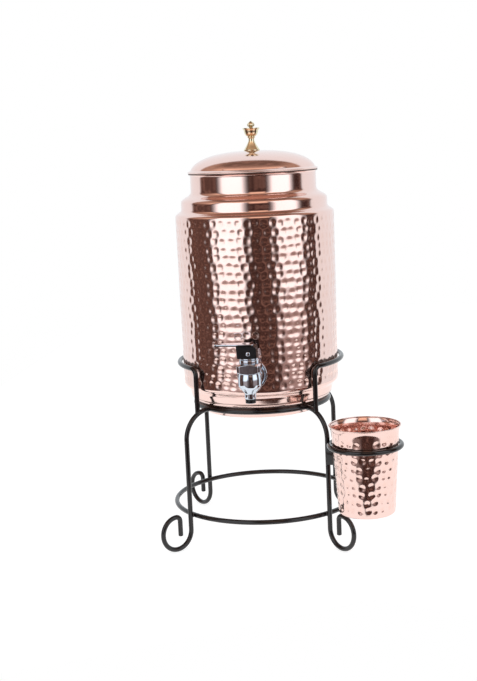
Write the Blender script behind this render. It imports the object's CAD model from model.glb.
"""Looks of a copper water dispenser: hammered pot, domed lid, lever tap, wire stand and one tumbler.

The pieces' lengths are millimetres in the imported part's frame: the pot's axis is Z, the tap faces -Y and the
floor is z = 0. Meshes, the camera and the stage are in metres.
"""

import logging
import math
from dataclasses import dataclass, replace
from enum import Enum
from typing import Any, Callable, Sequence

import bpy
import numpy as np
from mathutils import Matrix

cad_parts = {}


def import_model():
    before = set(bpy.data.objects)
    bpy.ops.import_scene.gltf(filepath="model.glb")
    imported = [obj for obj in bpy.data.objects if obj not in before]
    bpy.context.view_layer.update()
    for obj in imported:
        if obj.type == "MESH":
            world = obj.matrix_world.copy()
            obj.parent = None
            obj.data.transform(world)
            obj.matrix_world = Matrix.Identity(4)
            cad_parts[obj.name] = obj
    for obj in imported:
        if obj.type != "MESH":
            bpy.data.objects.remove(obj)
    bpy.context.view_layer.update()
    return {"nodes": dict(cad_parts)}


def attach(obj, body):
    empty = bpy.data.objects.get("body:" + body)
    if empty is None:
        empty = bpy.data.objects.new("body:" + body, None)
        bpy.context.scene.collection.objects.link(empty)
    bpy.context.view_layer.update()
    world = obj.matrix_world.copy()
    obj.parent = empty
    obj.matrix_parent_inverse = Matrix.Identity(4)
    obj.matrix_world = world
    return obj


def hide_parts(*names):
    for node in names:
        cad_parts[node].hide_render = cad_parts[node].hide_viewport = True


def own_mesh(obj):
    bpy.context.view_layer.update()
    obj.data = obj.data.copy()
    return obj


Array = np.ndarray
Point = Sequence[float]
Pair = tuple[float, float]
Colour = tuple[float, float, float]
Material = bpy.types.Material
Socket = bpy.types.NodeSocket

MM = 0.001
ORIGIN = (0.0, 0.0, 0.0)
UP = np.array([0.0, 0.0, 1.0])
MIRROR = np.array([1.0, -1.0])
# Axes that lay a piece turned about Z along Y.
ALONG_Y = ((1.0, 0.0, 0.0), (0.0, 0.0, -1.0), (0.0, 1.0, 0.0))
# Bearings of the legs, in degrees.
LEGS = {"rear_right": 45.0, "rear_left": 135.0, "front_left": 225.0, "front_right": 315.0}
# Points nearer than this are one point.
SAME_PLACE = 1e-6
# A solid turned profile starts and ends at this radius.
HUB = 0.2
# Rings of the dome on a wire's end, and its height in wire radii.
DOME_RINGS = 5
DOME_TALL = 0.45
# Greatest share of an edge that one rounding takes.
EDGE_SHARE = 0.45
NOISE_ROUGH = 0.55
MIX_COLOURS = {"data_type": "RGBA", "clamp_factor": True}
SMOOTH_STEP = {"interpolation_type": "SMOOTHSTEP", "clamp": True}
WHITE = (1.0, 1.0, 1.0)
BLACK = (0.0, 0.0, 0.0)
ROOM_DARK = (0.040, 0.019, 0.016)
PANEL_WHITE = (1.40, 1.46, 1.54)
LOG = logging.getLogger("dispenser")


class Slot(Enum):
    """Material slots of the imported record."""

    COPPER = "copper"
    BRASS = "brass"
    CHROME = "chrome"
    WIRE = "black_wire"
    PLASTIC = "black_plastic"
    RUBBER = "rubber"


class Body(Enum):
    """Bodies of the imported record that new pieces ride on."""

    STAND = "stand"
    POT = "pot"
    LID = "lid"
    TURN = "tap_turn"
    LEVER = "lever"
    CUP = "cup"


@dataclass
class Patch:
    """A closed surface on its way to a mesh.

    Attributes:
        points: Points in millimetres, one row each.
        quads: Point numbers of the four-sided faces.
        tris: Point numbers of the three-sided faces.
        mark: Depth of the hammer mark at each point, from 0 to 1.
        soil: Tarnish gathered in a seam at each point, from 0 to 1.
    """

    points: Array
    quads: Array
    tris: Array
    mark: Array
    soil: Array

    def carried(self, axes: Sequence[Point], origin: Point) -> "Patch":
        """Copy with every point p at origin + p.x axes[0] + p.y axes[1] + p.z axes[2]."""
        return replace(self, points=self.points @ np.array(axes, float) + np.array(origin, float))

    def moved(self, origin: Point) -> "Patch":
        """Copy with every point moved by the origin."""
        return self.carried(np.eye(3).tolist(), origin)


def joined(patches: Sequence[Patch]) -> Patch:
    """Puts several closed surfaces into one.

    Args:
        patches: The surfaces.

    Returns:
        One surface with all their points and faces.
    """
    starts = np.cumsum([0] + [len(patch.points) for patch in patches[:-1]])
    pairs = zip(patches, starts)
    shifted = [replace(patch, quads=patch.quads + start, tris=patch.tris + start) for patch, start in pairs]
    fields = ("points", "quads", "tris", "mark", "soil")
    return Patch(*(np.concatenate([getattr(patch, name) for patch in shifted]) for name in fields))


def skin(rings: Array, loop: bool = False, mark: Array | float = 0.0, soil: Array | float = 0.0) -> Patch:
    """Closes a grid of rings into a surface.

    Quads join (i, j), (i, j + 1), (i + 1, j + 1) and (i + 1, j), round every ring. In a loop the last ring
    joins the first. Otherwise a fan from the middle of each end ring closes that end. The turn of j crossed
    with the step of i points out of the body.

    Args:
        rings: Points by ring and place on the ring, in millimetres.
        loop: Whether the rings close on themselves.
        mark: Depth of the hammer marks at the same points.
        soil: Tarnish at the same points, or on each ring as a column.

    Returns:
        The closed surface.
    """
    count, around = rings.shape[:2]
    number = np.arange(count * around).reshape(count, around)
    beside = np.roll(number, -1, axis=1)
    quads = np.stack([number, beside, np.roll(beside, -1, 0), np.roll(number, -1, 0)], axis=-1)
    points = rings.reshape(-1, 3)
    values = [np.broadcast_to(value, (count, around)).reshape(-1) for value in (mark, soil)]
    if loop:
        return Patch(points, quads.reshape(-1, 4), np.zeros((0, 3), int), *values)
    first, last = np.full((2, around), [[len(points)], [len(points) + 1]])
    ends = (first, beside[0], number[0]), (last, number[-1], beside[-1])
    tris = np.concatenate([np.stack(end, axis=-1) for end in ends])
    points = np.concatenate([points, rings[[0, -1]].mean(axis=1)])
    values = [np.append(value, [0.0, 0.0]) for value in values]
    return Patch(points, quads[:-1].reshape(-1, 4), tris, *values)


def turn_angles(around: int) -> Array:
    """Angles of evenly spread points on one turn."""
    return np.arange(around) * (2 * math.pi / around)


def level_ways(angle: Array) -> Array:
    """Level unit vectors at angles from X, one row each."""
    return np.stack([np.cos(angle), np.sin(angle), 0 * angle], axis=-1)


def lathe(profile: Array, around: int, loop: bool = False, sink: Array | float = 0.0, **tint: Array) -> Patch:
    """Turns a profile about Z.

    A profile point (r, z) at angle a goes to ((r - sink) cos a, (r - sink) sin a, z). The profile's outside
    lies on its right as it runs, so an outer wall runs upwards.

    Args:
        profile: Radius and height of each profile point.
        around: Number of points on each ring.
        loop: Whether the profile closes on itself, as a sheet's outline does.
        sink: How far each point lies inside the profile.
        tint: Hammer marks and tarnish, as skin takes them.

    Returns:
        The turned surface.
    """
    angle = turn_angles(around)
    radius = profile[:, :1] - sink + 0 * angle
    height = profile[:, 1:] + 0 * angle
    return skin(np.stack([radius * np.cos(angle), radius * np.sin(angle), height], axis=-1), loop, **tint)


def tube(path: Array, side: Array, radius: float, around: int = 22, loop: bool = False) -> Patch:
    """Carries a round wire along a path.

    At path point p, with tangent t, side n and b = t x n, the ring is p + r (cos a n + sin a b). An open wire
    ends in low domes: rings shrink as r cos d and go on by DOME_TALL r sin d, for d from 16 to 80 degrees.

    Args:
        path: Points along the wire's middle.
        side: Unit vector square to the wire at each point.
        radius: Radius of the wire.
        around: Number of points on each ring.
        loop: Whether the path closes on itself.

    Returns:
        The wire's surface.
    """
    ahead = np.roll(path, -1, axis=0) - np.roll(path, 1, axis=0) if loop else np.gradient(path, axis=0)
    tangent = ahead / np.linalg.norm(ahead, axis=1, keepdims=True)
    width = np.full(len(path), radius)
    if not loop:
        lean = np.radians(np.linspace(80.0, 16.0, DOME_RINGS))
        reach = (DOME_TALL * radius * np.sin(lean))[:, None]
        path = np.concatenate([path[0] - reach * tangent[0], path, path[-1] + reach[::-1] * tangent[-1]])
        ends = radius * np.cos(lean)
        width = np.concatenate([ends, width, ends[::-1]])
        more = ((DOME_RINGS, DOME_RINGS), (0, 0))
        side, tangent = (np.pad(rows, more, mode="edge") for rows in (side, tangent))
    angle = turn_angles(around)[None, :, None]
    ring = np.cos(angle) * side[:, None] + np.sin(angle) * np.cross(tangent, side)[:, None]
    return skin(path[:, None] + width[:, None, None] * ring, loop)


def slab(outline: Array, levels: Sequence[Point]) -> Patch:
    """Stacks copies of a flat outline into a plate with soft edges.

    A level (inset, z) holds the outline at height z, with its points moved inwards by the inset.

    Args:
        outline: Points of the outline, anticlockwise seen from above.
        levels: Inset and height of each level, from the lowest up.

    Returns:
        The plate's surface.
    """
    inset, height = np.array(levels).T[:, :, None, None]
    ahead = np.roll(outline, -1, axis=0) - np.roll(outline, 1, axis=0)
    ahead /= np.linalg.norm(ahead, axis=1, keepdims=True)
    flat = outline[None] - inset * np.stack([ahead[:, 1], -ahead[:, 0]], axis=1)[None]
    return skin(np.concatenate([flat, np.broadcast_to(height, flat.shape[:2] + (1,))], axis=-1))


def line(start: Point, end: Point, count: int) -> Array:
    """Points evenly spread on a straight line, both ends included."""
    return np.linspace(start, end, count)


def cubic(controls: Sequence[Point], count: int) -> Array:
    """Points on the cubic curve of four controls, the sum of b(i, t) p(i) with Bernstein weights."""
    t = np.linspace(0.0, 1.0, count)[:, None]
    return sum(math.comb(3, i) * t**i * (1 - t) ** (3 - i) * np.array(p) for i, p in enumerate(controls))


def step(start: Point, end: Point, count: int) -> Array:
    """Points of an S curve, upright at the start and the end, with its controls at mid height."""
    middle = (start[1] + end[1]) / 2
    return cubic([start, (start[0], middle), (end[0], middle), end], count)


def arc(middle: Point, radius: float, start: float, end: float, count: int) -> Array:
    """Points on an arc about a middle, between two angles in degrees."""
    angle = np.radians(np.linspace(start, end, count))
    return np.array(middle) + radius * level_ways(angle)[:, :2]


def rounded(corners: Sequence[Point], reach: float, count: int) -> Array:
    """Rounds the corners of a polyline.

    The corner p becomes the curve (1 - t)^2 s + 2 t (1 - t) p + t^2 e. Here s and e lie on its two edges, at
    the reach from p or at EDGE_SHARE of the edge if that is nearer.

    Args:
        corners: Points of the polyline; the first and last stay.
        reach: Distance from a corner at which its rounding starts.
        count: Points on each rounding.

    Returns:
        The rounded polyline.
    """
    p = np.array(corners, float)
    edge = np.diff(p, axis=0)
    length = np.linalg.norm(edge, axis=1, keepdims=True)
    cut = edge / length * np.minimum(reach, EDGE_SHARE * length)
    start, end = p[1:-1] - cut[:-1], p[1:-1] + cut[1:]
    t = np.linspace(0.0, 1.0, count)[None, :, None]
    bends = (1 - t) ** 2 * start[:, None] + 2 * t * (1 - t) * p[1:-1, None] + t * t * end[:, None]
    return np.concatenate([p[:1], bends.reshape(-1, p.shape[1]), p[-1:]])


def chain(parts: Sequence[Sequence[Point]]) -> Array:
    """Lines and curves set end to end, without the repeated points where they meet."""
    points = np.concatenate(parts)
    return points[np.append(True, np.linalg.norm(np.diff(points, axis=0), axis=1) > SAME_PLACE)]


def grade(values: Array, start: float, full: float) -> Array:
    """Share from 0 at the start to 1 at the full value, and level beyond them."""
    return np.clip((values - start) / (full - start), 0.0, 1.0)


@dataclass(frozen=True)
class Hammering:
    """Rows of round hammer marks on a turned wall.

    Attributes:
        low: Height where the rows start.
        high: Height where the rows end.
        pitch: Distance between neighbours along a row and between rows.
        reach: Radius of a mark.
        depth: Depth of a mark's middle.
        seed: Seed of the scatter.
        slip: Spread of the marks about their places, in pitches.
        size: Least and greatest size of a mark, in radii.
        force: Least and greatest depth of a mark, in depths.
    """

    low: float
    high: float
    pitch: float
    reach: float
    depth: float
    seed: int
    slip: float = 0.075
    size: Pair = (0.86, 1.10)
    force: Pair = (0.72, 1.0)

    def marks(self, heights: Array, around: int, girth: float) -> Array:
        """Works out the marks over a grid of heights and angles.

        Mark (k, j) lies in row k, j pitches round from the row's own start, and is moved a little along and
        across the row. At d radii from its middle it is (1 - d^2)^2 deep, and the deepest of the nine nearest
        marks counts.

        Args:
            heights: Height of each ring.
            around: Number of points on each ring.
            girth: Length once round the wall.

        Returns:
            Depth of the marks at each point, from 0 to about 1.
        """
        draw = np.random.default_rng(self.seed)
        rows = max(1, round((self.high - self.low) / self.pitch))
        per_row = max(3, round(girth / self.pitch))
        rise, stride = (self.high - self.low) / rows, girth / per_row
        start = draw.uniform(0.0, stride, rows)
        slip = draw.normal(0.0, self.slip, (2, rows, per_row))
        size = draw.uniform(*self.size, (rows, per_row))
        force = draw.uniform(*self.force, (rows, per_row))
        place = np.broadcast_to(np.arange(around) * (girth / around), (len(heights), around))
        height = np.broadcast_to(heights[:, None], place.shape)
        base = np.floor((height - self.low) / rise).astype(int)
        deepest = np.zeros(place.shape)
        for across in (-1, 0, 1):
            row = base + across
            inside = (row >= 0) & (row < rows)
            row = np.clip(row, 0, rows - 1)
            nearest = np.floor((place - start[row]) / stride).astype(int)
            for beside in (-1, 0, 1):
                column = nearest + beside
                mark = column % per_row
                off_round = place - start[row] - (column + 0.5 + slip[0, row, mark]) * stride
                off_up = height - self.low - (row + 0.5 + slip[1, row, mark]) * rise
                distance = (off_round**2 + off_up**2) / (self.reach * size[row, mark]) ** 2
                depth = np.where(inside, force[row, mark] * np.clip(1 - distance, 0, None) ** 2, 0.0)
                deepest = np.maximum(deepest, depth)
        return deepest


def operator(operation: str, reflected: bool = False) -> Callable[["Num", "Num | float"], "Num"]:
    """Makes an operator that adds one Math node.

    Args:
        operation: The node's operation.
        reflected: Whether the other number stands in front.

    Returns:
        The operator, as a method of Num.
    """

    def method(self: "Num", other: "Num | float") -> "Num":
        """Result of the operation."""
        pair = (other, self) if reflected else (self, other)
        return self.graph.number("Math", {"operation": operation}, {0: pair[0], 1: pair[1]})

    return method


class Num:
    """A number on a shader socket; arithmetic on it adds Math nodes."""

    __add__, __radd__ = operator("ADD"), operator("ADD", True)
    __sub__, __rsub__ = operator("SUBTRACT"), operator("SUBTRACT", True)
    __mul__, __rmul__ = operator("MULTIPLY"), operator("MULTIPLY", True)
    above = operator("MAXIMUM")

    def __init__(self, graph: "Graph", socket: Socket) -> None:
        """Holds the socket and the graph it belongs to."""
        self.graph = graph
        self.socket = socket

    def ramp(self, low: float, high: float) -> "Num":
        """Smooth step of the value, from 0 at low to 1 at high."""
        return self.graph.number("MapRange", SMOOTH_STEP, {0: self, 1: low, 2: high})


class Graph:
    """Node tree of a material or of the world."""

    def __init__(self, tree: bpy.types.NodeTree) -> None:
        """Empties the tree."""
        self.tree = tree
        tree.nodes.clear()

    def node(
        self, kind: str, settings: dict[str, Any] | None = None, inputs: dict[Any, Any] | None = None
    ) -> bpy.types.Node:
        """Adds a node.

        Args:
            kind: The node's type, without its ShaderNode prefix.
            settings: Properties, which are set first.
            inputs: Values or links of its sockets, by name or number.

        Returns:
            The node.
        """
        made = self.tree.nodes.new("ShaderNode" + kind)
        for name, value in (settings or {}).items():
            setattr(made, name, value)
        for name, value in (inputs or {}).items():
            value = value.socket if isinstance(value, Num) else value
            if isinstance(value, Socket):
                self.tree.links.new(value, made.inputs[name])
            else:
                made.inputs[name].default_value = value
        return made

    def number(self, kind: str, settings: Any = None, inputs: Any = None, output: str | int = 0) -> Num:
        """Number from one output of a new node, which takes the same settings and inputs as node."""
        return Num(self, self.node(kind, settings, inputs).outputs[output])

    def place(self, stretch: float = 1.0) -> Socket:
        """Object coordinates, stretched along Z."""
        inputs = {"Vector": self.node("TexCoord").outputs["Object"], "Scale": (1.0, 1.0, stretch)}
        return self.node("Mapping", None, inputs).outputs["Vector"]

    def noise(self, scale: float, detail: float, stretch: float = 1.0) -> Num:
        """Soft noise about one half, with cells to the metre, finer layers and a stretch of Z."""
        inputs = {"Vector": self.place(stretch), "Scale": scale, "Detail": detail, "Roughness": NOISE_ROUGH}
        return self.number("TexNoise", None, inputs)

    def attribute(self, name: str) -> Num:
        """Value stored on the mesh's points."""
        return self.number("Attribute", {"attribute_name": name}, None, "Fac")

    def blend(self, share: Num, first: Colour | Socket, second: Colour | Socket) -> Socket:
        """Colour between two, by the share of the second."""
        ends = [end if isinstance(end, Socket) else (*end, 1.0) for end in (first, second)]
        return self.node("Mix", MIX_COLOURS, {0: share, 6: ends[0], 7: ends[1]}).outputs[2]

    def bump(self, height: Num, distance: float) -> Socket:
        """Normal of a surface raised by a height, over a distance in metres."""
        return self.node("Bump", None, {"Distance": distance, "Height": height}).outputs["Normal"]

    def surface(self, inputs: dict[str, Any]) -> None:
        """Ends the graph in one Principled shader with the given inputs."""
        shader = self.node("BsdfPrincipled", None, inputs)
        self.node("OutputMaterial", None, {"Surface": shader.outputs[0]})

    def glow(self, colour: Socket, inputs: dict[str, Any]) -> None:
        """Ends the graph in a surface that doesn't shine and gives out the colour."""
        dull = {"Specular IOR Level": 0.0, "Emission Color": colour, "Emission Strength": 1.0}
        self.surface(dull | inputs)


def new_material(name: str) -> tuple[Material, Graph]:
    """Adds a material.

    Args:
        name: The material's name.

    Returns:
        The material and its empty graph.
    """
    material = bpy.data.materials.new(name)
    material.use_nodes = True
    return material, Graph(material.node_tree)


@dataclass(frozen=True)
class Finish:
    """Surface of one material: patches of a second tone, uneven gloss and a fine relief.

    Attributes:
        name: The material's name.
        first: Its main colour.
        second: Colour of its patches.
        rough: Least roughness.
        patch: Cells to the metre and layers of the patches.
        start: Value of the patches where the second colour sets in.
        gain: How fast the second colour takes over.
        fine: Cells to the metre, layers and stretch along Z of the relief.
        dulling: Roughness that the patches and the relief add.
        relief: Height of the relief in metres.
        metal: Whether it is a metal, 0 or 1.
        coat: Weight of a clear coat on the patches.
        coat_rough: Roughness of that coat.
    """

    name: str
    first: Colour
    second: Colour
    rough: float
    patch: Pair
    start: float
    gain: float
    fine: tuple[float, ...]
    dulling: Pair
    relief: float
    metal: float = 0.0
    coat: float = 0.0
    coat_rough: float = 0.08

    def material(self) -> Material:
        """Makes the material.

        Returns:
            The material, with noise in object coordinates for patches and relief.
        """
        made, graph = new_material(self.name)
        patch, fine = graph.noise(*self.patch), graph.noise(*self.fine)
        inputs = {
            "Base Color": graph.blend((patch - self.start) * self.gain, self.first, self.second),
            "Metallic": self.metal,
            "Roughness": self.rough + patch * self.dulling[0] + fine * self.dulling[1],
            "Normal": graph.bump(fine, self.relief),
        }
        if self.coat:
            inputs |= {"Coat Weight": patch * self.coat, "Coat Roughness": self.coat_rough}
        graph.surface(inputs)
        return made


@dataclass(frozen=True)
class CopperFinish(Finish):
    """Polished sheet with fine lines round the axis, darker and duller in the hammer marks and the seams.

    Attributes:
        grain: Cells to the metre and layers of a grain over the lines.
        grain_share: Height of the grain, as a share of the lines.
        hollow_tone: Share of the second colour that a mark's middle adds.
        hollow_dull: Roughness that a mark's middle adds.
        seam: Colour of the tarnish.
        seam_share: Share of that colour on full tarnish, and what the patches add to it.
        seam_dull: Roughness that tarnish adds.
    """

    grain: Pair = (900.0, 2.0)
    grain_share: float = 0.35
    hollow_tone: float = 0.3
    hollow_dull: float = 0.03
    seam: Colour = (0.045, 0.020, 0.015)
    seam_share: Pair = (0.8, 0.3)
    seam_dull: float = 0.4

    def material(self) -> Material:
        """Makes the material.

        Returns:
            The material, which reads the marks and the tarnish from the mesh.
        """
        made, graph = new_material(self.name)
        drift, lines, grain = (graph.noise(*sizes) for sizes in (self.patch, self.fine, self.grain))
        hollow, soil = graph.attribute("mark"), graph.attribute("soil")
        share = (drift - self.start) * self.gain + hollow * self.hollow_tone
        tone = graph.blend(share, self.first, self.second)
        tarnish = soil * (self.seam_share[0] + drift * self.seam_share[1])
        polish = self.rough + drift * self.dulling[0] + lines * self.dulling[1]
        graph.surface(
            {
                "Base Color": graph.blend(tarnish, tone, self.seam),
                "Metallic": self.metal,
                "Roughness": polish + hollow * self.hollow_dull + soil * self.seam_dull,
                "Normal": graph.bump(lines + grain * self.grain_share, self.relief),
            }
        )
        return made


FINISHES: dict[Slot, Finish] = {
    Slot.COPPER: CopperFinish(
        "polished_copper", (0.925, 0.685, 0.625), (0.880, 0.565, 0.465), 0.085,
        patch=(22.0, 4.0), start=0.35, gain=0.8, fine=(30.0, 2.0, 55.0), dulling=(0.03, 0.03), relief=8e-6,
        metal=1.0,
    ),
    Slot.BRASS: Finish(
        "turned_brass", (0.840, 0.755, 0.530), (0.630, 0.500, 0.265), 0.07,
        patch=(120.0, 3.0), start=0.3, gain=0.9, fine=(60.0, 2.0, 60.0), dulling=(0.04, 0.05), relief=12e-6,
        metal=1.0,
    ),
    Slot.CHROME: Finish(
        "chrome_plate", (0.680, 0.740, 0.820), (0.520, 0.575, 0.650), 0.035,
        patch=(160.0, 4.0), start=0.35, gain=0.8, fine=(240.0, 1.0), dulling=(0.05, 0.0), relief=30e-6,
        metal=1.0,
    ),
    Slot.WIRE: Finish(
        "black_powder_coat", (0.0070, 0.0045, 0.0050), (0.0140, 0.0100, 0.0105), 0.08,
        patch=(70.0, 4.0), start=0.4, gain=1.6, fine=(1100.0, 2.0), dulling=(0.08, 0.03), relief=30e-6,
        coat=0.2,
    ),
    Slot.PLASTIC: Finish(
        "black_moulded_plastic", (0.0075, 0.0075, 0.0085), (0.020, 0.020, 0.022), 0.16,
        patch=(140.0, 4.0), start=0.45, gain=1.6, fine=(1600.0, 2.0), dulling=(0.12, 0.0), relief=20e-6,
    ),
    Slot.RUBBER: Finish(
        "seal_rubber", (0.018, 0.018, 0.019), (0.050, 0.050, 0.052), 0.62,
        patch=(90.0, 5.0), start=0.4, gain=1.5, fine=(1300.0, 2.0), dulling=(0.2, 0.0), relief=60e-6,
    ),
}


class Bench:
    """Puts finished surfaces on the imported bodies."""

    def __init__(self, nodes: dict[str, bpy.types.Object]) -> None:
        """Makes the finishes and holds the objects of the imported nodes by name."""
        self.nodes = nodes
        self.finishes = {slot: finish.material() for slot, finish in FINISHES.items()}

    def place(self, name: str, patch: Patch, slot: Slot, body: Body, *stands_for: str) -> bpy.types.Object:
        """Writes a surface into a mesh and hangs it on its body.

        Args:
            name: The piece's name.
            patch: Its surface.
            slot: Its material slot.
            body: The body it rides on.
            stands_for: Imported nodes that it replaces.

        Returns:
            The piece.
        """
        mesh = bpy.data.meshes.new(name)
        corners = np.concatenate([patch.quads.reshape(-1), patch.tris.reshape(-1)]).astype(np.int32)
        sizes = np.repeat([4, 3], [len(patch.quads), len(patch.tris)])
        mesh.vertices.add(len(patch.points))
        mesh.vertices.foreach_set("co", (patch.points * MM).astype(np.float32).reshape(-1))
        mesh.loops.add(len(corners))
        mesh.loops.foreach_set("vertex_index", corners)
        mesh.polygons.add(len(sizes))
        mesh.polygons.foreach_set("loop_start", (np.cumsum(sizes) - sizes).astype(np.int32))
        mesh.polygons.foreach_set("use_smooth", np.ones(len(sizes), bool))
        for field in ("mark", "soil"):
            values = getattr(patch, field).astype(np.float32)
            mesh.attributes.new(field, "FLOAT", "POINT").data.foreach_set("value", values)
        mesh.update(calc_edges=True)
        mesh.materials.append(self.finishes[slot])
        piece = bpy.data.objects.new(name, mesh)
        bpy.context.scene.collection.objects.link(piece)
        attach(piece, body.value)
        if stands_for:
            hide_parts(*stands_for)
        LOG.info("%s on %s: %d faces", name, body.value, len(sizes))
        return piece

    def dress(self, slot: Slot, *names: str) -> None:
        """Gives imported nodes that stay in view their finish.

        Args:
            slot: The finish's material slot.
            names: The nodes.
        """
        for name in names:
            mesh = self.nodes[name].data
            mesh.materials.clear()
            mesh.materials.append(self.finishes[slot])
            LOG.info("%s keeps its shape in %s", name, slot.value)


@dataclass
class Pot:
    """Hammered copper pot with a stepped shoulder, a short neck and a dished base."""

    low: float = 149.46
    foot_r: float = 74.2
    foot_spread: float = 0.3
    hem: float = 1.3
    band: Pair = (75.5, 155.16)
    wall_foot: Pair = (81.5, 164.66)
    wall_head: Pair = (82.5, 337.16)
    tier_foot: Pair = (76.0, 345.16)
    tier_head: Pair = (76.0, 351.16)
    neck_foot: Pair = (65.2, 363.16)
    neck_top: float = 380.96
    lip_out: float = 1.8
    lip_tall: float = 3.4
    sheet: float = 1.0
    mark_room: float = 0.35
    floor_z: float = 133.16
    floor_r: float = 58.0
    floor_bend: float = 8.0
    pressed_r: Pair = (24.0, 46.0)
    pressed_half: float = 3.0
    pressed_deep: float = 0.5
    collar_r: float = 73.15
    collar_low: float = 148.3
    collar_top: float = 152.36
    around: int = 396
    base_around: int = 240
    wall_rings: int = 133
    hammering: Hammering = Hammering(166.0, 336.6, 8.6, 4.75, 0.56, 11)

    def _side(self, inset: float, wall_rings: int, curve_rings: int) -> list[Array]:
        """Lays out the side from the foot to under the neck's lip.

        Args:
            inset: How far it is moved inwards.
            wall_rings: Points up the hammered wall.
            curve_rings: Points on each S curve.

        Returns:
            Its lines and curves, from the lowest up.
        """
        foot = (self.foot_r + self.foot_spread, self.low + self.hem)
        neck_head = (self.neck_foot[0], self.neck_top - self.lip_tall)
        parts = [
            line(foot, self.band, 4),
            step(self.band, self.wall_foot, curve_rings),
            line(self.wall_foot, self.wall_head, wall_rings),
            step(self.wall_head, self.tier_foot, curve_rings),
            line(self.tier_foot, self.tier_head, 4),
            step(self.tier_head, self.neck_foot, curve_rings),
            line(self.neck_foot, neck_head, 5),
        ]
        return [part - (inset, 0.0) for part in parts]

    def shell(self) -> Patch:
        """Turns the sheet's outline: up the outside, over the neck's flared lip and down the inside.

        The lip is a cubic curve that leaves the neck upright and leans outwards. The hammer marks sink the
        outer wall. Tarnish gathers on the lip's edge, under the lid, and along the foot's edge.

        Returns:
            The sheet's surface.
        """
        low, foot, heel = self.low, self.foot_r, self.foot_r - self.sheet
        neck, top, turn = self.neck_foot[0], self.neck_top, low + self.hem
        bore, edge = neck - self.sheet, neck + self.lip_out
        hem = [(heel + 0.2, turn), (heel, low), (foot, low), (foot + self.foot_spread, turn)]
        flare = [(neck, top - self.lip_tall), (neck, top - 1.6), (edge - 0.7, top - 1.3), (edge, top - 0.4)]
        roll = [flare[-1], (edge, top), (bore, top), (bore, top - 3.0)]
        outside = self._side(0.0, self.wall_rings, 15)
        inside = np.concatenate(self._side(self.sheet + self.mark_room, 6, 7))[::-1]
        before = chain([rounded(hem, 0.45, 4), *outside[:2]])
        profile = chain([before, *outside[2:], cubic(flare, 14), rounded(roll, 0.3, 4), inside])
        wall = slice(len(before), len(before) + self.wall_rings - 1)
        mark = np.zeros((len(profile), self.around))
        mark[wall] = self.hammering.marks(profile[wall, 1], self.around, 2 * math.pi * self.wall_head[0])
        height = profile[:, 1:]
        soil = grade(height, top - 0.95, top - 0.45) + grade(height, low + 0.7, low + 0.2)
        return lathe(profile, self.around, True, mark * self.hammering.depth, mark=mark, soil=soil)

    def base(self) -> Patch:
        """Turns the dished base: flat floor, round corner, cone at 45 degrees and a collar inside the foot.

        Two shallow rings pressed in the floor sink it as a squared cosine of the distance from each ring.

        Returns:
            The base's surface.
        """
        middle, bend = (self.floor_r, self.floor_z + self.floor_bend), self.floor_bend
        corner = arc(middle, bend, -90.0, -45.0, 8)
        out, inner = self.collar_r, self.collar_r - self.sheet
        rim = [corner[-1], (out, self.collar_low), (out, self.collar_top), (inner, self.collar_top),
               (inner, self.collar_low + 0.4), corner[-1] + (-0.7, 0.7)]
        radius = np.linspace(HUB, self.floor_r, 60)
        off = [np.clip((radius - ring) / self.pressed_half, -1, 1) for ring in self.pressed_r]
        press = self.pressed_deep * sum(np.cos(share * math.pi / 2) ** 2 for share in off)
        floor = np.stack([radius, self.floor_z + press], axis=1)
        inner_corner = arc(middle, bend - self.sheet, -45.0, -90.0, 6)
        back = floor[::-1] + (0.0, self.sheet)
        return lathe(chain([floor, corner, rounded(rim, 0.4, 4), inner_corner, back]), self.base_around)

    def build(self, bench: Bench) -> None:
        """Makes the pot's pieces."""
        bench.place("hammered_pot", self.shell(), Slot.COPPER, Body.POT, "pot_shell")
        bench.place("dished_base", self.base(), Slot.COPPER, Body.POT, "pot_base")


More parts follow.
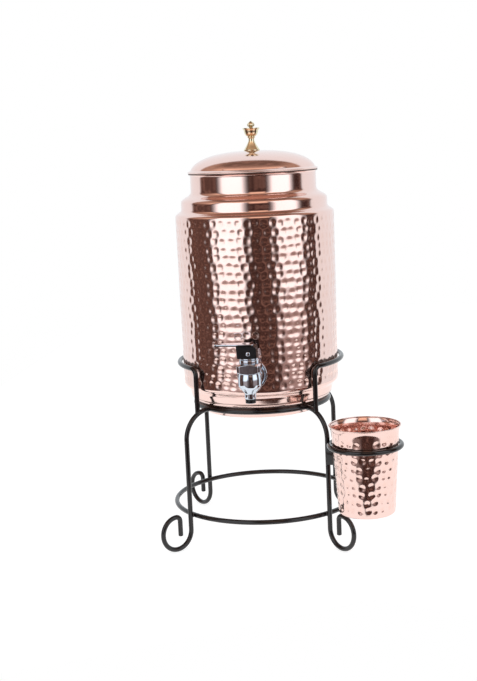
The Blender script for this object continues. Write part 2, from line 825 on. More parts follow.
@dataclass
class Lid:
    """Spun copper lid with a turned brass knob."""

    rim_r: float = 67.6
    rim_low: float = 381.06
    rim_top: float = 382.76
    curve: tuple[Pair, ...] = ((64.6, 384.36), (61.52, 391.96), (48.0, 401.56), (8.3, 402.46))
    sheet: float = 1.0
    hole_r: float = 2.7
    around: int = 320
    knob_z: float = 402.51
    knob_foot_r: float = 8.3
    knob_neck_r: float = 3.0
    knob_bowl_r: float = 8.75
    knob_around: int = 96
    bud_foot: Pair = (1.9, 24.2)
    bud_flutes: int = 6
    flute_deep: float = 0.07

    def dome(self) -> Patch:
        """Turns the lid's outline: bevelled rim, sloping brim, dome to the knob's hole, and back underneath.

        Tarnish gathers along the rim's lower edge.

        Returns:
            The lid's surface.
        """
        sheet, rim, low, top = self.sheet, self.rim_r, self.rim_low, self.rim_top
        crown, peak = cubic(self.curve, 60), self.curve[-1][1]
        inner = rim - 1.5 * sheet
        brim = [(inner, low + 1.2), (inner, low), (rim - sheet, low), (rim, top - 0.25)]
        brim += [(rim - 0.2, top + 0.1), crown[0], crown[3]]
        hub = [(self.hole_r, peak), (self.hole_r, peak - sheet)]
        profile = chain([rounded(brim, 0.3, 5), crown[3:], hub, crown[::-1] - (sheet * 0.8, sheet)])
        return lathe(profile, self.around, True, soil=grade(profile[:, 1:], low + 0.45, low + 0.15))

    def knob(self) -> Patch:
        """Turns the knob: spreading foot, thin neck with a collar, bowl with a lip, and a fluted bud.

        At angle a the bud sinks by its radius times the depth of its n flutes times 1 - cos(n a).

        Returns:
            The knob's surface.
        """
        foot, neck, bowl, bud_foot = self.knob_foot_r, self.knob_neck_r, self.knob_bowl_r, self.bud_foot
        lip = [(7.5, 20.4), (bowl, 22.2), (bowl, 23.0), (bowl - 0.9, 23.0), (3.6, 20.6), (bud_foot[0], 20.9)]
        stem = chain(
            [
                rounded([(HUB, 0.0), (foot, 0.0), (foot, 0.8), (foot - 0.5, 1.2)], 0.35, 5),
                cubic([(foot - 0.5, 1.2), (foot - 1.7, 3.4), (neck + 1.3, 6.2), (neck, 10.0)], 20),
                line((neck, 10.0), (neck + 0.1, 12.6), 4),
                rounded([(neck + 0.1, 12.6), (4.1, 13.1), (4.1, 13.9), (neck + 0.5, 14.3)], 0.35, 5),
                cubic([(neck + 0.5, 14.3), (5.8, 14.6), (7.0, 17.2), lip[0]], 16),
                rounded(lip, 0.4, 5),
                line(lip[-1], bud_foot, 4),
            ]
        )
        bud = cubic([bud_foot, (5.7, 24.7), (3.6, 28.3), (HUB, 29.95)], 30)[1:]
        profile = np.concatenate([stem, bud])
        flute = np.repeat([0.0, self.flute_deep], [len(stem), len(bud)])[:, None]
        sink = flute * profile[:, :1] * (1 - np.cos(self.bud_flutes * turn_angles(self.knob_around)))
        return lathe(profile, self.knob_around, sink=sink).moved((0.0, 0.0, self.knob_z))

    def build(self, bench: Bench) -> None:
        """Makes the lid's pieces.

        Args:
            bench: What hangs them on their body.
        """
        bench.place("domed_lid", self.dome(), Slot.COPPER, Body.LID, "lid_dome")
        bench.place("turned_knob", self.knob(), Slot.BRASS, Body.LID, "knob")
        bench.dress(Slot.COPPER, "lid_skirt")
        bench.dress(Slot.BRASS, "knob_stud", "knob_nut", "knob_washer")


@dataclass
class Tap:
    """Chrome lever tap with a square block, cut at its corners, over a tapering bulb."""

    axis: tuple[float, float, float] = (0.0, -106.606, 183.0)
    spout_low: float = -24.0
    spout_r: float = 5.5
    mouth_r: float = 4.0
    mouth_deep: float = 8.0
    cone_foot: Pair = (5.83, -14.0)
    cone: Pair = (10.27, -8.9)
    bulb: Pair = (11.75, -4.0)
    belly: Pair = (11.75, -1.0)
    waist_r: float = 10.85
    block_low: float = 6.0
    block_top: float = 16.0
    block_r: float = 15.0
    chamfer_foot_r: float = 11.5
    chamfer_top_r: float = 10.6
    well_r: float = 9.0
    flats: float = 11.6
    corner_cut: float = 2.6
    softness: float = 0.14
    around: int = 320
    tail_r: float = 7.0
    bore_r: float = 4.0
    tail_start: float = 3.0
    tail_end: float = 36.5
    thread_start: float = 24.0
    thread_deep: float = 0.25
    thread_pitch: float = 1.5
    flange_r: float = 15.0
    flange_y: float = 19.5
    flange_thick: float = 3.0
    stem_r: float = 3.0
    bonnet_r: float = 9.8
    bonnet_low: float = 16.05
    bonnet_top: float = 20.2
    slip_r: float = 9.5
    slip_low: float = 20.25
    slip_top: float = 21.25
    spring_r: float = 3.55
    spring_wire: float = 0.5
    spring_turns: int = 6
    spring_low: float = -4.3
    spring_top: float = 11.4
    spring_seat: float = 12.0
    stem_lift: float = 3.01

    def body(self) -> Patch:
        """Rounds a square block, cut at its corners, and a turned bulb into one casting.

        At angle a and height z the radius is a soft minimum, -k log(sum of exp(-x / k)), of three reaches:
        the turned profile's, the nearest flat's and the nearest corner cut's. A flat at a distance f reaches
        f / cos(a'), where a' is the angle from its middle.

        Returns:
            The casting's surface, with its tail.
        """
        low, mouth, rim, neck = self.spout_low, self.mouth_r, self.spout_r - 0.55, self.spout_r + 0.25
        cone_foot, cone, bulb, belly = self.cone_foot, self.cone, self.bulb, self.belly
        waist, foot = (self.waist_r, self.block_low - 0.7), (self.chamfer_foot_r, self.block_low + 0.2)
        side_low, side_top = (self.block_r, self.block_low + 1.76), (self.block_r, self.block_top - 1.98)
        spout = [(mouth, low + 1.0), (mouth, low), (rim, low), (rim, low + 4.2), (neck, low + 4.6),
                 (neck, low + 9.0), cone_foot]
        swell = [cone, (cone[0] + 0.95, cone[1] + 1.1), (bulb[0], bulb[1] - 2.4), bulb]
        shrink = [belly, (belly[0], belly[1] + 2.4), (waist[0] + 0.5, belly[1] + 4.6), waist]
        profile = chain(
            [
                line((mouth, low + self.mouth_deep), (mouth, low + 1.4), 4),
                rounded(spout, 0.35, 4),
                line(cone_foot, cone, 14),
                cubic(swell, 18),
                line(bulb, belly, 4),
                cubic(shrink, 14),
                rounded([waist, (waist[0] - 0.05, self.block_low), foot], 0.25, 5),
                line(foot, side_low, 12),
                line(side_low, side_top, 8),
                line(side_top, (self.chamfer_top_r, self.block_top), 14),
                line((self.chamfer_top_r, self.block_top), (self.well_r, self.block_top), 3),
            ]
        )
        angle, quarter, soft = turn_angles(self.around), math.pi / 2, self.softness
        flat = self.flats / np.cos((angle + quarter / 2) % quarter - quarter / 2)
        cut = (2 * self.flats - self.corner_cut) * math.sqrt(0.5) / np.cos(angle % quarter - quarter / 2)
        reach = np.logaddexp(-flat / soft, -cut / soft)
        radius = -soft * np.logaddexp(-profile[:, :1] / soft, reach)
        block = lathe(profile, self.around, sink=profile[:, :1] - radius)
        return joined([block, self._tail()]).moved(self.axis)

    def _tail(self) -> Patch:
        """Turns the inlet tail about Y: plain at the flange, ridged like a thread in the pot, bored through.

        The thread is a cosine wave on the radius, one wave to each pitch.

        Returns:
            The tail's surface.
        """
        r, bore, end = self.tail_r, self.bore_r, self.tail_end
        along = np.linspace(self.thread_start, end - 0.6, 70)
        wave = self.thread_deep * (np.cos(along * (2 * math.pi / self.thread_pitch)) - 1)
        ridge = np.stack([r + wave, along], axis=1)
        outline = chain(
            [
                line((r, self.tail_start), (r, self.thread_start), 6),
                ridge,
                rounded([ridge[-1], (r - 0.7, end), (bore, end), (bore, end - 4.0)], 0.3, 4),
                line((bore, end - 4.0), (bore, self.tail_start + 1.0), 5),
            ]
        )
        return lathe(outline, 72, True).carried(ALONG_Y, ORIGIN)

    def flange(self) -> Patch:
        """Turns the wall flange: thin rolled rim, hollow face and a raised hub round the tail.

        Returns:
            The flange's surface.
        """
        near, rim, hub = self.flange_y, self.flange_r, self.tail_r + 0.05
        far = near + self.flange_thick
        outline = [(hub, near), (9.5, near), (9.9, near + 1.0), (12.6, near + 1.5), (13.2, near + 0.9),
                   (rim, near + 1.1), (rim, far), (hub, far), (hub, near + 0.05)]
        return lathe(rounded(outline, 0.55, 5), 120, True).carried(ALONG_Y, self.axis)

    def bonnet(self) -> Patch:
        """Turns the bonnet ring: soft lower edge and a chamfer at the top.

        Returns:
            The ring's surface.
        """
        hole, r, low, top = self.stem_r, self.bonnet_r, self.bonnet_low, self.bonnet_top
        outline = [(hole, low), (r - 0.2, low), (r, low + 0.5), (r, top - 1.0), (r - 1.0, top), (hole, top),
                   (hole, low + 0.1)]
        return lathe(rounded(outline, 0.3, 5), 120, True).moved(self.axis)

    def slip(self) -> Patch:
        """Turns the slip washer under the lever's head.

        Returns:
            The washer's surface.
        """
        hole, r, low, top = self.stem_r, self.slip_r, self.slip_low, self.slip_top
        outline = [(hole, low), (r, low), (r, top), (hole, top), (hole, low + 0.1)]
        return lathe(rounded(outline, 0.25, 4), 96, True).moved(self.axis)

    def tip(self) -> Patch:
        """Turns the dark ring round the spout's mouth.

        Returns:
            The ring's surface.
        """
        inner, outer = self.spout_r - 0.75, self.spout_r - 0.33
        low, top = self.spout_low + 0.35, self.spout_low + 3.9
        outline = [(inner, low), (outer, low), (outer, top), (inner, top), (inner, low + 0.05)]
        return lathe(rounded(outline, 0.14, 4), 72, True).moved(self.axis)

    def spring(self) -> Patch:
        """Winds the return spring: at angle a its wire is at (r cos a, r sin a, z), and z climbs evenly.

        Returns:
            The spring's surface.
        """
        angle = np.linspace(0.0, 2 * math.pi * self.spring_turns, 32 * self.spring_turns + 1)
        out = level_ways(angle)
        path = self.spring_r * out
        path[:, 2] = np.linspace(self.spring_low, self.spring_top, len(angle))
        return tube(path, out, self.spring_wire, 16).moved(self.axis)

    def build(self, bench: Bench) -> None:
        """Makes the tap's pieces; the spring is pressed against the bonnet as the stem lifts.

        Args:
            bench: What hangs them on their bodies.
        """
        bench.place("tap_casting", self.body(), Slot.CHROME, Body.POT, "tap_body")
        bench.place("wall_flange", self.flange(), Slot.CHROME, Body.POT, "tap_flange")
        bench.place("bonnet_ring", self.bonnet(), Slot.CHROME, Body.POT, "tap_bonnet")
        bench.place("spout_tip", self.tip(), Slot.PLASTIC, Body.POT)
        bench.place("slip_washer", self.slip(), Slot.CHROME, Body.TURN, "tap_slip_washer")
        spring = bench.place("return_spring", self.spring(), Slot.CHROME, Body.POT, "tap_spring")
        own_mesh(spring)
        bench.dress(Slot.CHROME, "tap_back_nut", "tap_stem")
        bench.dress(Slot.RUBBER, "tap_outer_washer", "tap_inner_washer", "tap_seat_seal")


@dataclass
class Lever:
    """Press-down lever: black head on a pin, with a chrome blade on a black backing to the left."""

    axis: tuple[float, float, float] = (0.0, -106.606, 209.0)
    blade_low: float = 7.05
    blade_split: float = 7.95
    blade_top: float = 9.05
    blade_right: float = 5.2
    blade_left: float = -33.5
    blade_wide: float = 13.0
    shoulder_x: float = -11.6
    tip_r: float = 3.9
    pin_r: float = 1.5
    pin_half: float = 9.05
    head_r: float = 2.15
    head_in: float = 8.05

    def blade(self, low: float, top: float) -> Patch:
        """Stacks the blade's outline with soft edges: square at the head, narrowing to a round tip.

        Args:
            low: Height of its underside over the pin.
            top: Height of its top.

        Returns:
            The blade's surface.
        """
        half, right = self.blade_wide / 2, self.blade_right
        end = arc((self.blade_left + self.tip_r, 0.0), self.tip_r, 105.0, 255.0, 22)
        edge = rounded([(right, 0.0), (right, half), (self.shoulder_x, half), end[0]], 2.6, 9)
        outline = chain([edge, end, edge[::-1][:-1] * MIRROR])
        lower = [(0.4, low), (0.1, low + 0.1), (0.0, low + 0.3)]
        upper = [(0.0, top - 0.4), (0.12, top - 0.14), (0.45, top)]
        return slab(outline, lower + upper).moved(self.axis)

    def pin(self) -> Patch:
        """Turns the pin about Y, with a domed head at each end.

        Returns:
            The pin's surface.
        """
        half, seat, head = self.pin_half, self.head_in, self.head_r
        end = [(0.1, -half), (head - 0.6, 0.05 - half), (head, 0.5 - half)]
        cap = [*end, (head, -seat), (self.pin_r, -seat)]
        left = rounded(cap, 0.3, 5)
        return lathe(chain([left, left[::-1] * MIRROR]), 48).carried(ALONG_Y, self.axis)

    def build(self, bench: Bench) -> None:
        """Makes the lever's pieces.

        Args:
            bench: What hangs them on their body.
        """
        plate = self.blade(self.blade_split, self.blade_top)
        backing = self.blade(self.blade_low, self.blade_split)
        bench.place("lever_plate", plate, Slot.CHROME, Body.LEVER, "lever_blade")
        bench.place("lever_backing", backing, Slot.PLASTIC, Body.LEVER)
        bench.place("hinge_pin", self.pin(), Slot.CHROME, Body.LEVER, "lever_pin")
        bench.dress(Slot.PLASTIC, "lever_head")


@dataclass
class Stand:
    """Black wire stand: two rings, four scrolled legs, a gallery rail and a tumbler holder."""

    wire_r: float = 2.5
    ring_points: int = 300
    support_r: float = 70.3
    support_z: float = 141.5
    base_r: float = 96.27
    base_z: float = 34.0
    gallery_r: float = 85.52
    gallery_z: float = 185.0
    gallery_start: float = -40.32
    gallery_end: float = 220.32
    gallery_bend: float = 7.0
    post_r: float = 85.806
    post_foot: float = 139.0
    leg_tip_r: float = 72.85
    arch_r: float = 28.47
    arch_z: float = 113.03
    scroll_z: float = 19.8
    scroll_low_r: float = 17.5
    scroll_top_r: float = 16.5
    curl_r: float = 5.0
    tail_drop: float = 15.0
    holder: tuple[float, float, float] = (110.032, -85.616, 110.0)
    holder_r: float = 35.80
    tab: Pair = (71.644, -71.644)
    tab_turn: float = -20.0
    tab_left: float = -0.95
    tab_right: float = 7.25
    tab_front: float = -4.55
    tab_back: float = -2.55
    tab_low: float = 87.45
    tab_top: float = 107.45
    drop_r: float = 2.6
    drop_flat: float = 0.9
    drop_swell: float = 0.08

    def ring(self, radius: float, middle: Point) -> Patch:
        """Carries the wire round a level circle about its middle."""
        side = level_ways(turn_angles(self.ring_points))
        return tube(side * radius + np.array(middle), side, self.wire_r, loop=True)

    def gallery(self) -> Patch:
        """Carries the wire down a front post, round the back of the pot and down the other post.

        The rail is an arc; at each end a quarter bend in the upright plane along the rail turns it down.

        Returns:
            The wire's surface.
        """
        turn = self.gallery_bend
        out = level_ways(np.radians(np.linspace(self.gallery_start, self.gallery_end, 240)))
        rail = out * self.gallery_r + self.gallery_z * UP
        fall = arc((0.0, -turn), turn, 84.0, 0.0, 15)
        drop = line((turn, -turn), (turn, self.post_foot - self.gallery_z), 26)[1:]
        bend = np.concatenate([fall, drop])
        first = rail[0] + bend[::-1, :1] * np.cross(out[0], UP) + bend[::-1, 1:] * UP
        last = rail[-1] + bend[:, :1] * np.cross(UP, out[-1]) + bend[:, 1:] * UP
        side = np.pad(out, ((len(first), len(last)), (0, 0)), mode="edge")
        return tube(np.concatenate([first, rail, last]), side, self.wire_r)

    def leg(self, bearing: float) -> Patch:
        """Carries the wire from the support ring over the arch, down the shank and round the foot's scroll.

        The path lies in the upright plane at the bearing: arcs and lines of (distance out, height). The wire
        is flat where it meets the floor.

        Args:
            bearing: The leg's angle from X, in degrees.

        Returns:
            The wire's surface.
        """
        shank = self.leg_tip_r + self.arch_r
        low = shank + self.scroll_low_r
        top = low + self.scroll_low_r - self.scroll_top_r
        curl = self.scroll_z + self.scroll_top_r - self.curl_r
        plan = chain(
            [
                arc((self.leg_tip_r, self.arch_z), self.arch_r, 90.0, 0.0, 60),
                line((shank, self.arch_z), (shank, self.scroll_z), 50),
                arc((low, self.scroll_z), self.scroll_low_r, 180.0, 360.0, 64),
                arc((top, self.scroll_z), self.scroll_top_r, 0.0, 90.0, 34),
                arc((top, curl), self.curl_r, 90.0, 180.0, 18),
                line((top - self.curl_r, curl), (top - self.curl_r, curl - self.tail_drop), 12),
            ]
        )
        out = level_ways(np.radians(bearing))
        side = np.repeat(np.cross(UP, out)[None], len(plan), 0)
        wire = tube(plan[:, :1] * out + plan[:, 1:] * UP, side, self.wire_r)
        wire.points[:, 2] = np.maximum(wire.points[:, 2], 0.0)
        return wire

    def strip(self) -> Patch:
        """Stacks the strip that ties the holder's ring to its leg, with soft edges.

        Returns:
            The strip's surface.
        """
        left, right, front, back = self.tab_left, self.tab_right, self.tab_front, self.tab_back
        outline = [(3.0, front), (right, front), (right, back), (left, back), (left, front), (2.95, front)]
        low, top = self.tab_low, self.tab_top
        levels = [(0.35, low), (0.0, low + 0.45), (0.0, top - 0.45), (0.35, top)]
        along = level_ways(np.radians(self.tab_turn))
        axes = (along, np.cross(UP, along), UP)
        return slab(rounded(outline, 0.6, 6), levels).carried(axes, (*self.tab, 0.0))

    def welds(self) -> Patch:
        """Fills the corners where wires meet with small uneven drops of weld.

        A drop is a ball whose radius swells as 1 + s sin(3 a + k) cos(2 b), flattened along the height.

        Returns:
            The surface of all the drops.
        """
        spots = []
        for out in level_ways(np.radians(list(LEGS.values()))):
            spots.append(out * (self.leg_tip_r + 0.4) + UP * (self.support_z - 0.5))
            spots.append(out * (self.leg_tip_r + self.arch_r - 2.6) + UP * self.base_z)
            if out[1] < 0:
                spots.append(out * self.post_r + UP * (self.post_foot + 1.4))
        spots.append((self.tab[0] + 2.4, self.tab[1] - 2.2, 98.0))
        lean = np.radians(np.linspace(-86.0, 86.0, 12))[:, None]
        angle = turn_angles(18)[None]
        drops = []
        for number, spot in enumerate(spots):
            radius = self.drop_r * (1 + self.drop_swell * np.sin(3 * angle + number) * np.cos(2 * lean))
            out, rise = radius * np.cos(lean), self.drop_flat * radius * np.sin(lean)
            ball = np.stack([out * np.cos(angle), out * np.sin(angle), rise], axis=-1)
            drops.append(skin(ball).moved(spot))
        return joined(drops)

    def build(self, bench: Bench) -> None:
        """Makes the stand's pieces.

        Args:
            bench: What hangs them on their body.
        """
        pieces = [
            ("gallery_rail", self.gallery(), "gallery_wire"),
            ("pot_ring", self.ring(self.support_r, self.support_z * UP), "support_ring"),
            ("tie_ring", self.ring(self.base_r, self.base_z * UP), "base_ring"),
            ("tumbler_ring", self.ring(self.holder_r, self.holder), "holder_ring"),
            ("tumbler_strip", self.strip(), "holder_tab"),
        ]
        for name, bearing in LEGS.items():
            pieces.append(("scroll_leg_" + name, self.leg(bearing), "leg_" + name))
        for name, patch, node in pieces:
            bench.place(name, patch, Slot.WIRE, Body.STAND, node)
        bench.place("weld_drops", self.welds(), Slot.WIRE, Body.STAND)


@dataclass
class Tumbler:
    """Hammered copper tumbler with a flared lip."""

    axis: tuple[float, float, float] = (110.032, -85.616, 41.0)
    foot_r: float = 28.5
    corner: float = 3.0
    dish: float = 0.8
    floor_z: float = 1.6
    top_r: float = 33.6
    top_z: float = 81.0
    lip_r: float = 36.0
    tall: float = 90.0
    sheet: float = 1.0
    around: int = 260
    wall_rings: int = 76
    hammering: Hammering = Hammering(5.0, 80.0, 8.2, 4.1, 0.70, 23)

    def cup(self) -> Patch:
        """Turns the sheet's outline: floor, wall, flared lip with a rolled edge, and back down the inside.

        The hammer marks sink the outer wall and stand out on the inside at the same heights.

        Returns:
            The cup's surface.
        """
        sheet, foot, corner, dish = self.sheet, self.foot_r, self.corner, self.dish
        flat, lip, tall = foot - corner, self.lip_r, self.tall
        heel = [(flat - 2.0, dish), (flat - 1.2, 0.0), (flat, 0.0)]
        below = [line((HUB, dish), heel[0], 12), rounded(heel, 0.5, 4)]
        head = chain([*below, arc((flat, corner), corner, -90.0, 0.0, 8)])
        wall = line((foot, corner), (self.top_r, self.top_z), self.wall_rings)
        flare = cubic([(self.top_r, self.top_z), (33.85, 85.2), (34.3, 87.0), (lip - 0.15, tall - 0.9)], 16)
        edge = rounded([flare[-1], (lip, tall), (lip - 1.3, tall), (lip - 1.45, tall - 1.2)], 0.6, 6)
        outside = [head, wall, flare, edge, flare[::-1] - (sheet, 0.0)]
        inner_heel = arc((flat, corner + 0.6), corner - sheet, 0.0, -90.0, 6)
        floor = line((flat, self.floor_z), (HUB, self.floor_z), 12)
        profile = chain([*outside, wall[::-1] - (sheet, 0.0), inner_heel, floor])
        mark = np.zeros((len(profile), self.around))
        for first in (len(head), len(chain(outside))):
            rings = slice(first, first + self.wall_rings - 1)
            mark[rings] = self.hammering.marks(profile[rings, 1], self.around, math.pi * (foot + self.top_r))
        return lathe(profile, self.around, sink=mark * self.hammering.depth, mark=mark).moved(self.axis)

    def build(self, bench: Bench) -> None:
        """Makes the tumbler."""
        bench.place("hammered_tumbler", self.cup(), Slot.COPPER, Body.CUP, "tumbler")


@dataclass(frozen=True)
class Viewpoint:
    """Camera that sees the dispenser from the photograph's angle.

    Attributes:
        back: Distance of the camera from the pot's axis, in metres.
        height: Height of the camera.
        tilt: Downward tilt.
        roll: Lean of the picture.
        turn: Turn of the camera round the pot.
        focal: Focal length in picture points.
        aim: Offset of the picture's middle from the fitted axis, in picture points.
        tall: Height of the picture in points.
        sensor: Height of the camera's sensor in millimetres.
    """

    back: float = 1.306
    height: float = 0.416
    tilt: float = 0.165
    roll: float = 0.042
    turn: float = math.radians(6.1)
    focal: float = 1250.0
    aim: Pair = (-21.5, 4.5)
    tall: float = 681.0
    sensor: float = 36.0

    def axes(self) -> tuple[Array, Array, Array]:
        """Works out the camera's directions.

        Returns:
            Right, up and forward, as unit vectors.
        """
        forward = np.array([0.0, math.cos(self.tilt), -math.sin(self.tilt)])
        up = np.array([0.0, math.sin(self.tilt), math.cos(self.tilt)])
        right = np.array([1.0, 0.0, 0.0])
        lean, stand = math.sin(self.roll), math.cos(self.roll)
        right, up = stand * right - lean * up, lean * right + stand * up
        forward = self.focal * forward + self.aim[0] * right + self.aim[1] * up
        forward /= np.linalg.norm(forward)
        right = np.cross(forward, up)
        right /= np.linalg.norm(right)
        up = np.cross(right, forward)
        c, s = math.cos(self.turn), math.sin(self.turn)
        spin = np.array([[c, s, 0.0], [-s, c, 0.0], UP])
        return right @ spin, up @ spin, forward @ spin

    def toward(self) -> Array:
        """Level direction from the pot to the camera."""
        return np.array([math.sin(self.turn), -math.cos(self.turn), 0.0])

    def build(self) -> None:
        """Makes the scene's camera."""
        right, up, forward = self.axes()
        data = bpy.data.cameras.new("camera")
        data.sensor_width = self.sensor
        data.lens = self.focal * self.sensor / self.tall
        data.clip_end = 50.0
        camera = bpy.data.objects.new("camera", data)
        place = np.eye(4)
        place[:3] = np.stack([right, up, -forward, self.back * self.toward() + self.height * UP], axis=1)
        camera.matrix_world = Matrix(place.tolist())
        bpy.context.scene.collection.objects.link(camera)
        bpy.context.scene.camera = camera


def staged(name: str, points: Array, material: Material) -> bpy.types.Object:
    """Makes a sheet of the stage, which isn't part of the dispenser.

    Args:
        name: The sheet's name.
        points: Its points by row and column, in metres.
        material: Its material.

    Returns:
        The sheet.
    """
    number = np.arange(points.shape[0] * points.shape[1]).reshape(points.shape[:2])
    faces = np.stack([number[:-1, :-1], number[:-1, 1:], number[1:, 1:], number[1:, :-1]], axis=-1)
    mesh = bpy.data.meshes.new(name)
    mesh.from_pydata(points.reshape(-1, 3).tolist(), [], faces.reshape(-1, 4).tolist())
    mesh.materials.append(material)
    sheet = bpy.data.objects.new(name, mesh)
    bpy.context.scene.collection.objects.link(sheet)
    return sheet


@dataclass(frozen=True)
class SoftPanel:
    """Tall curved light panel beside the camera.

    Attributes:
        start: Bearing of its left edge from the camera, in degrees to the right.
        end: Bearing of its right edge.
        dim: Colour at its foot.
        turn: Heights between which it brightens, in metres.
        dusk: Heights between which its foot comes up to that colour.
        dusk_share: Share of that colour below them.
        away: Distance from the pot's axis.
        foot: Height of its lower edge.
        head: Height of its upper edge.
        edge: Share of its width over which each side fades.
        fade: Power of the fade.
        columns: Number of points across it.
    """

    start: float
    end: float
    dim: Colour
    turn: Pair
    dusk: Pair = (-0.35, -0.05)
    dusk_share: float = 0.5
    away: float = 1.36
    foot: float = -0.50
    head: float = 1.70
    edge: float = 0.21
    fade: float = 1.5
    columns: int = 49

    def build(self, name: str, toward: Array) -> None:
        """Makes the panel.

        At bearing b it lies at the distance away, turned by b from the camera's direction. Its colour is a
        smooth step of its height, sinks near its lower edge and goes dark at its sides.

        Args:
            name: The panel's name.
            toward: Level direction from the pot to the camera.
        """
        bearing = np.radians(np.linspace(self.start, self.end, self.columns))[None, :, None]
        height = np.linspace(self.foot, self.head, 3)[:, None, None]
        round_pot = np.cos(bearing) * toward + np.sin(bearing) * np.cross(UP, toward)
        material, graph = new_material(name)
        level = graph.number("SeparateXYZ", None, {0: graph.place()}, "Z")
        darker = tuple(value * self.dusk_share for value in self.dim)
        low = graph.blend(level.ramp(*self.dusk), darker, self.dim)
        lit = graph.blend(level.ramp(*self.turn), low, PANEL_WHITE)
        graph.glow(graph.blend(graph.attribute("fade"), ROOM_DARK, lit), {"Base Color": (*BLACK, 1.0)})
        panel = staged(name, self.away * round_pot + height * UP, material)
        inside = np.linspace(0.0, 1.0, self.columns)
        fade = np.clip(np.minimum(inside, inside[::-1]) / self.edge, 0.0, 1.0) ** self.fade
        values = np.tile(fade, len(height)).astype(np.float32)
        panel.data.attributes.new("fade", "FLOAT", "POINT").data.foreach_set("value", values)
        panel.visible_camera = False


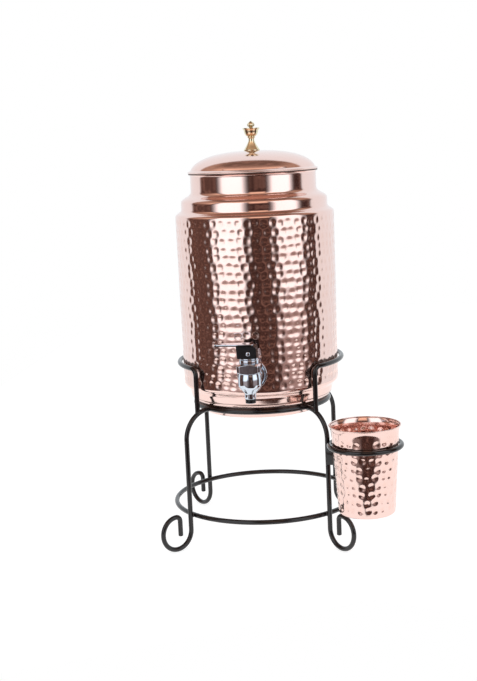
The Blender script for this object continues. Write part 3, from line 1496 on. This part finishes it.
@dataclass(frozen=True)
class Studio:
    """Pale table, white sweep behind, a dark warm room and a soft panel at each side of the camera."""

    view: Viewpoint
    left: SoftPanel = SoftPanel(-69.3, -8.2, (0.46, 0.37, 0.36), (-0.05, 0.11))
    right: SoftPanel = SoftPanel(21.8, 77.3, (0.38, 0.29, 0.28), (-0.02, 0.22))
    table_front: float = -0.215
    table_reach: float = -0.62
    table_back: float = 1.7
    table_side: float = 0.55
    table_grid: tuple[int, int] = (111, 33)
    table_grey: float = 0.52
    table_rough: float = 0.9
    table_glow: float = 0.80
    notch_x: float = 0.11
    notch_fall: Pair = (0.50, 0.32)
    notch_power: float = 0.9
    sweep_turn: float = -7.2
    sweep_lean: float = 0.27
    sweep_edge: Pair = (0.209, 0.309)
    sweep_tone: Colour = (0.91, 0.96, 1.0)
    room_mid: Colour = (0.230, 0.130, 0.105)
    room_high: Colour = (1.10, 0.74, 0.56)
    room_rise: Pair = (0.12, 0.6)
    uneven_edge: Pair = (0.42, 0.78)
    clutter_scale: float = 9.0
    clutter_detail: float = 4.0
    left_edge: Pair = (0.6, 0.95)
    left_light: float = 0.25
    overhead_edge: Pair = (0.7, 0.95)
    overhead_dim: float = 0.67
    behind_edge: Pair = (-0.55, 0.1)
    behind_dim: float = 0.65
    fill: float = 0.45

    def table(self) -> None:
        """Makes the table top, a level grid that shows white and keeps the shadow.

        Its front edge is a wide notch below the camera: y falls from the notch's middle with a power of the
        distance along x, by one factor on each side, as far as the table's reach.
        """
        across, deep = self.table_grid
        x = np.linspace(-self.table_side, self.table_side, across)[None]
        off = x - self.notch_x
        fall = np.abs(off) ** self.notch_power * np.where(off < 0, *self.notch_fall)
        front = np.maximum(self.table_front - fall, self.table_reach)
        y = front + (self.table_back - front) * np.linspace(0.0, 1.0, deep)[:, None]
        material, graph = new_material("pale_table")
        path = graph.node("LightPath")
        camera, gloss, through = (
            Num(graph, path.outputs[f"Is {kind} Ray"]) for kind in ("Camera", "Glossy", "Transmission")
        )
        shown = graph.blend(camera + gloss + through, BLACK, (self.table_glow,) * 3)
        grey = (*(self.table_grey,) * 3, 1.0)
        graph.glow(shown, {"Base Color": grey, "Roughness": self.table_rough})
        staged("table_top", np.stack([x + 0 * y, y, 0 * y], axis=-1), material)

    def surroundings(self) -> None:
        """Makes the world: white to the camera, grey light, and for gloss a dark room with a white sweep.

        With b the backward and z the upward part of a direction, the sweep shows where b less its lean times
        max(z, 0) passes its edge. The room is uneven, paler at the left, warms and pales with z, most of all
        in front, and dims overhead.
        """
        world = bpy.data.worlds.new("studio")
        bpy.context.scene.world = world
        world.use_nodes = True
        graph = Graph(world.node_tree)
        way = graph.node("TexCoord").outputs["Generated"]
        turn = math.radians(self.sweep_turn)
        side = np.cross(UP, -self.view.toward())
        back = math.sin(turn) * side - math.cos(turn) * self.view.toward()

        def along(direction: Array) -> Num:
            """Part of the ray's way along a direction."""
            inputs = {0: way, 1: direction.tolist()}
            return graph.number("VectorMath", {"operation": "DOT_PRODUCT"}, inputs, "Value")

        upward, backward = along(UP), along(back)
        sweep = (backward - upward.above(0.0) * self.sweep_lean).ramp(*self.sweep_edge)
        rise = upward.ramp(*self.room_rise) * (1 - upward.ramp(*self.overhead_edge) * self.overhead_dim)
        front = 1 - backward.ramp(*self.behind_edge) * self.behind_dim
        cells = {"Vector": way, "Scale": self.clutter_scale, "Detail": self.clutter_detail}
        clutter = graph.number("TexNoise", None, cells)
        uneven = clutter.ramp(*self.uneven_edge) + along(side).ramp(*self.left_edge) * self.left_light
        room = graph.blend(rise * front, graph.blend(uneven, ROOM_DARK, self.room_mid), self.room_high)
        path = graph.node("LightPath")
        gloss, seen = (Num(graph, path.outputs[f"Is {kind} Ray"]) for kind in ("Glossy", "Camera"))
        colour = graph.blend(gloss, (self.fill,) * 3, graph.blend(sweep, room, self.sweep_tone))
        shade = graph.node("Background", None, {"Color": graph.blend(seen, colour, WHITE), "Strength": 1.0})
        graph.node("OutputWorld", None, {"Surface": shade.outputs[0]})

    def build(self) -> None:
        """Makes the stage and sets the plain view transform."""
        self.table()
        self.left.build("soft_panel_left", self.view.toward())
        self.right.build("soft_panel_right", self.view.toward())
        self.surroundings()
        bpy.context.scene.view_settings.view_transform = "Standard"


def corners(box: tuple[Any, Any]) -> list[list[float]]:
    """Lowest and highest corner of a box as plain lists."""
    return [[float(value) for value in corner] for corner in box]


def main() -> None:
    """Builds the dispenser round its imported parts, then the studio and the camera."""
    logging.basicConfig(level=logging.INFO, format="%(name)s: %(message)s")
    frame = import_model()
    bench = Bench(frame["nodes"])
    for assembly in (Stand(), Pot(), Lid(), Tap(), Lever(), Tumbler()):
        assembly.build(bench)
        LOG.info("%s built", type(assembly).__name__)
    view = Viewpoint()
    view.build()
    Studio(view).build()


if __name__ == "__main__":
    main()
